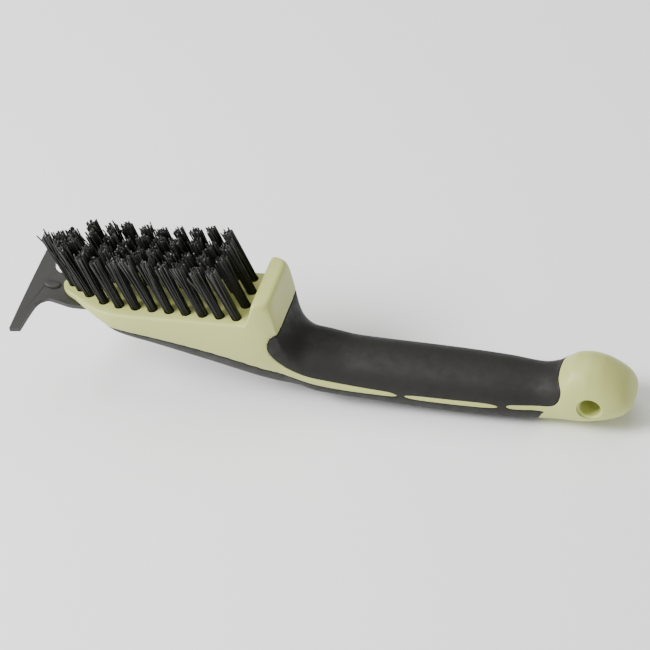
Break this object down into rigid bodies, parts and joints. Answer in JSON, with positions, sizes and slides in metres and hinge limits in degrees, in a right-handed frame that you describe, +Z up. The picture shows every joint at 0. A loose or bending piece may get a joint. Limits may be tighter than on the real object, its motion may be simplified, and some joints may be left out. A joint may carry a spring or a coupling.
{
  "type": "grill cleaning brush",
  "caption": "Hand brush for grill grates with an offset rubber-gripped handle, a tufted boat-shaped head, a fishtail scraper at the nose and a hanging hole in the end knob.",
  "frame": {"origin": "on the surface that the back of the handle rests on, under the middle of the brush's box", "axes": "+X from the scraper to the end knob, +Y across the brush, +Z up, the way the bristles point"},
  "size_m": [0.29, 0.0658, 0.0836],
  "materials": {
    "body": "fine satin moulded plastic, pale celery green",
    "grip": "soft matt charcoal rubber",
    "scraper": "matt dark grey plastic",
    "bristle": "black nylon filament"
  },
  "bodies": {
    "root": {"body": "body", "grip": "grip", "scraper": "scraper", "tuft_outer_near_01": "bristle", "tuft_outer_near_02": "bristle", "tuft_outer_near_03": "bristle", "tuft_outer_near_04": "bristle", "tuft_outer_near_05": "bristle", "tuft_outer_near_06": "bristle", "tuft_outer_near_07": "bristle", "tuft_outer_near_08": "bristle", "tuft_outer_near_09": "bristle", "tuft_outer_near_10": "bristle", "tuft_inner_near_01": "bristle", "tuft_inner_near_02": "bristle", "tuft_inner_near_03": "bristle", "tuft_inner_near_04": "bristle", "tuft_inner_near_05": "bristle", "tuft_inner_near_06": "bristle", "tuft_inner_near_07": "bristle", "tuft_inner_near_08": "bristle", "tuft_inner_near_09": "bristle", "tuft_nose_near": "bristle", "tuft_outer_far_01": "bristle", "tuft_outer_far_02": "bristle", "tuft_outer_far_03": "bristle", "tuft_outer_far_04": "bristle", "tuft_outer_far_05": "bristle", "tuft_outer_far_06": "bristle", "tuft_outer_far_07": "bristle", "tuft_outer_far_08": "bristle", "tuft_outer_far_09": "bristle", "tuft_outer_far_10": "bristle", "tuft_inner_far_01": "bristle", "tuft_inner_far_02": "bristle", "tuft_inner_far_03": "bristle", "tuft_inner_far_04": "bristle", "tuft_inner_far_05": "bristle", "tuft_inner_far_06": "bristle", "tuft_inner_far_07": "bristle", "tuft_inner_far_08": "bristle", "tuft_inner_far_09": "bristle", "tuft_nose_far": "bristle", "tuft_middle": "bristle", "tuft_tip": "bristle"}
  },
  "joints": []
}
